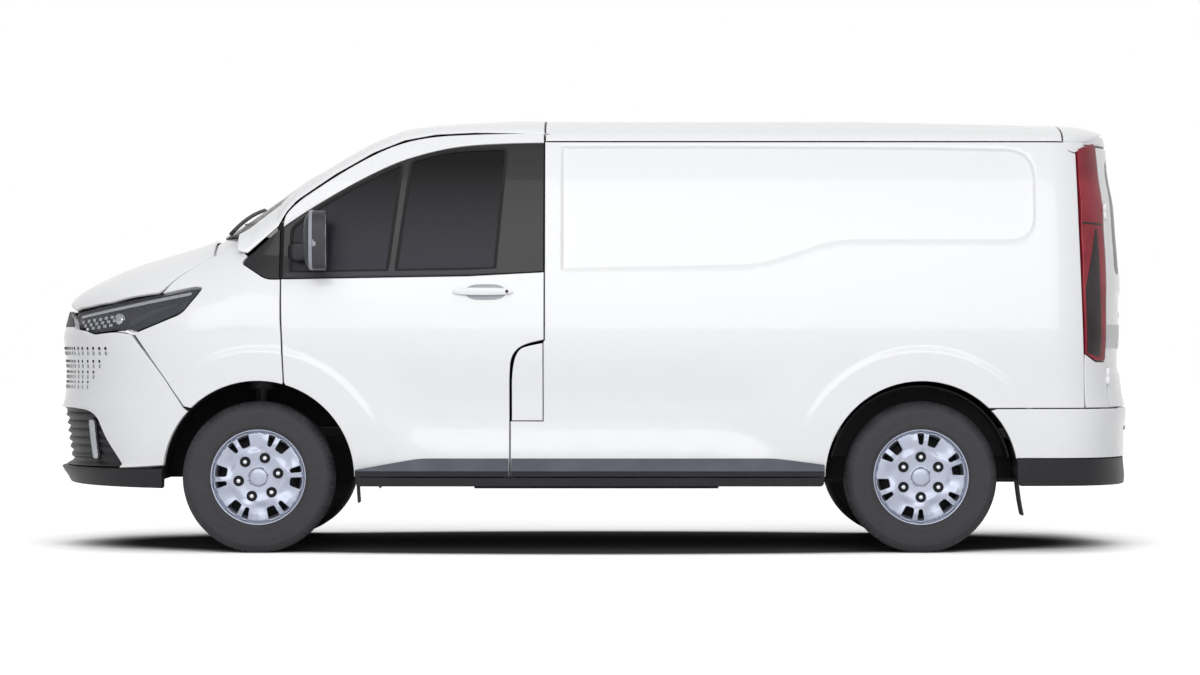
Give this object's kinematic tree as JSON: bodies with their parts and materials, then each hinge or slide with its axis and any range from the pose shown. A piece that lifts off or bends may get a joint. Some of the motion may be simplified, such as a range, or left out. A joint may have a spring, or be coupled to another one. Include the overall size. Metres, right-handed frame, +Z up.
{
  "type": "panel van",
  "caption": "Mid-size panel van with a hollow cab and load space, hinged front and rear doors, a bonnet, a filler flap, steered front wheels and rolling road wheels.",
  "frame": {"origin": "on the ground, under the middle of the overall box", "axes": "+X forward, towards the bonnet; +Y to the vehicle's left; +Z up"},
  "size_m": [4.995, 2.34, 1.99],
  "materials": {
    "white_paint": "gloss white enamel",
    "black_plastic": "grained black plastic",
    "tinted_glass": "tinted glass",
    "lamp_smoke": "clear cover over dark reflectors",
    "lamp_red": "red lens",
    "chassis_black": "black chassis paint",
    "cast_metal": "cast metal",
    "tank_plastic": "blow-moulded plastic",
    "exhaust_steel": "dull steel",
    "cab_grey": "grey paint",
    "cab_plastic": "grained dark plastic",
    "seat_cloth": "woven dark cloth",
    "tyre_rubber": "moulded rubber",
    "wheel_silver": "silver lacquer"
  },
  "bodies": {
    "body": {"floor_pan": "chassis_black", "chassis_rails": "chassis_black", "front_suspension": "chassis_black", "rear_suspension": "chassis_black", "engine_block": "cast_metal", "radiator": "chassis_black", "fuel_tank": "tank_plastic", "exhaust": "exhaust_steel", "bulkhead": "cab_grey", "dashboard": "cab_plastic", "seats": "seat_cloth", "steering_column": "cab_plastic", "side_panel_left": "white_paint", "side_panel_right": "white_paint", "sliding_door": "white_paint", "roof": "white_paint", "windscreen_frame": "white_paint", "windscreen": "tinted_glass", "front_wings": "white_paint", "front_bumper": "white_paint", "lower_grille": "black_plastic", "headlamps": "lamp_smoke", "tail_lamps": "lamp_red", "rear_bumper": "white_paint", "lower_trims": "black_plastic", "wheelhouses": "black_plastic"},
    "steering_wheel": {"steering_wheel": "cab_plastic"},
    "bonnet": {"bonnet": "white_paint"},
    "filler_flap": {"filler_flap": "white_paint"},
    "front_door_left": {"front_door_left": "white_paint", "door_glass_left": "tinted_glass", "mirror_left": "black_plastic"},
    "rear_door_left": {"rear_door_left": "white_paint", "rear_glass_left": "tinted_glass"},
    "knuckle_left": {"knuckle_left": "chassis_black"},
    "wheel_front_left": {"wheel_front_left": "wheel_silver", "tyre_front_left": "tyre_rubber"},
    "wheel_rear_left": {"wheel_rear_left": "wheel_silver", "tyre_rear_left": "tyre_rubber"},
    "front_door_right": {"front_door_right": "white_paint", "door_glass_right": "tinted_glass", "mirror_right": "black_plastic"},
    "rear_door_right": {"rear_door_right": "white_paint", "rear_glass_right": "tinted_glass"},
    "knuckle_right": {"knuckle_right": "chassis_black"},
    "wheel_front_right": {"wheel_front_right": "wheel_silver", "tyre_front_right": "tyre_rubber"},
    "wheel_rear_right": {"wheel_rear_right": "wheel_silver", "tyre_rear_right": "tyre_rubber"}
  },
  "joints": [
    {"name": "steering_wheel_turn", "type": "hinge", "parent": "body", "child": "steering_wheel", "pos_m": [0.894, 0.4, 1.205], "axis": [-0.848, 0, 0.5299], "range_deg": [-525, 525]},
    {"name": "steer_left", "type": "hinge", "parent": "body", "child": "knuckle_left", "pos_m": [1.514, 0.79, 0.343], "axis": [0, 0, 1], "range_deg": [-35, 35]},
    {"name": "steer_right", "type": "hinge", "parent": "body", "child": "knuckle_right", "pos_m": [1.514, -0.79, 0.343], "axis": [0, 0, 1], "range_deg": [-35, 35]},
    {"name": "wheel_spin_front_left", "type": "hinge", "parent": "knuckle_left", "child": "wheel_front_left", "pos_m": [1.514, 0.868, 0.343], "axis": [0, 1, 0], "continuous": true},
    {"name": "wheel_spin_front_right", "type": "hinge", "parent": "knuckle_right", "child": "wheel_front_right", "pos_m": [1.514, -0.868, 0.343], "axis": [0, 1, 0], "continuous": true},
    {"name": "wheel_spin_rear_left", "type": "hinge", "parent": "body", "child": "wheel_rear_left", "pos_m": [-1.486, 0.868, 0.343], "axis": [0, 1, 0], "continuous": true},
    {"name": "wheel_spin_rear_right", "type": "hinge", "parent": "body", "child": "wheel_rear_right", "pos_m": [-1.486, -0.868, 0.343], "axis": [0, 1, 0], "continuous": true},
    {"name": "front_door_left_open", "type": "hinge", "parent": "body", "child": "front_door_left", "pos_m": [1.408, 1.001, 0.9], "axis": [0, 0, -1], "range_deg": [0, 68]},
    {"name": "front_door_right_open", "type": "hinge", "parent": "body", "child": "front_door_right", "pos_m": [1.408, -1.001, 0.9], "axis": [0, 0, 1], "range_deg": [0, 68]},
    {"name": "rear_door_left_open", "type": "hinge", "parent": "body", "child": "rear_door_left", "pos_m": [-2.374, 0.866, 1.2], "axis": [0, 0, -1], "range_deg": [0, 180]},
    {"name": "rear_door_right_open", "type": "hinge", "parent": "body", "child": "rear_door_right", "pos_m": [-2.374, -0.866, 1.2], "axis": [0, 0, 1], "range_deg": [0, 180]},
    {"name": "bonnet_open", "type": "hinge", "parent": "body", "child": "bonnet", "pos_m": [1.712, 0, 1.405], "axis": [0, -1, 0], "range_deg": [0, 52]},
    {"name": "filler_flap_open", "type": "hinge", "parent": "body", "child": "filler_flap", "pos_m": [0.224, 1.016, 0.78], "axis": [0, 0, 1], "range_deg": [0, 90]}
  ],
  "couplings": [
    {"joint": "steer_left", "follows": "steering_wheel_turn", "ratio": 0.066667},
    {"joint": "steer_right", "follows": "steering_wheel_turn", "ratio": 0.066667}
  ]
}
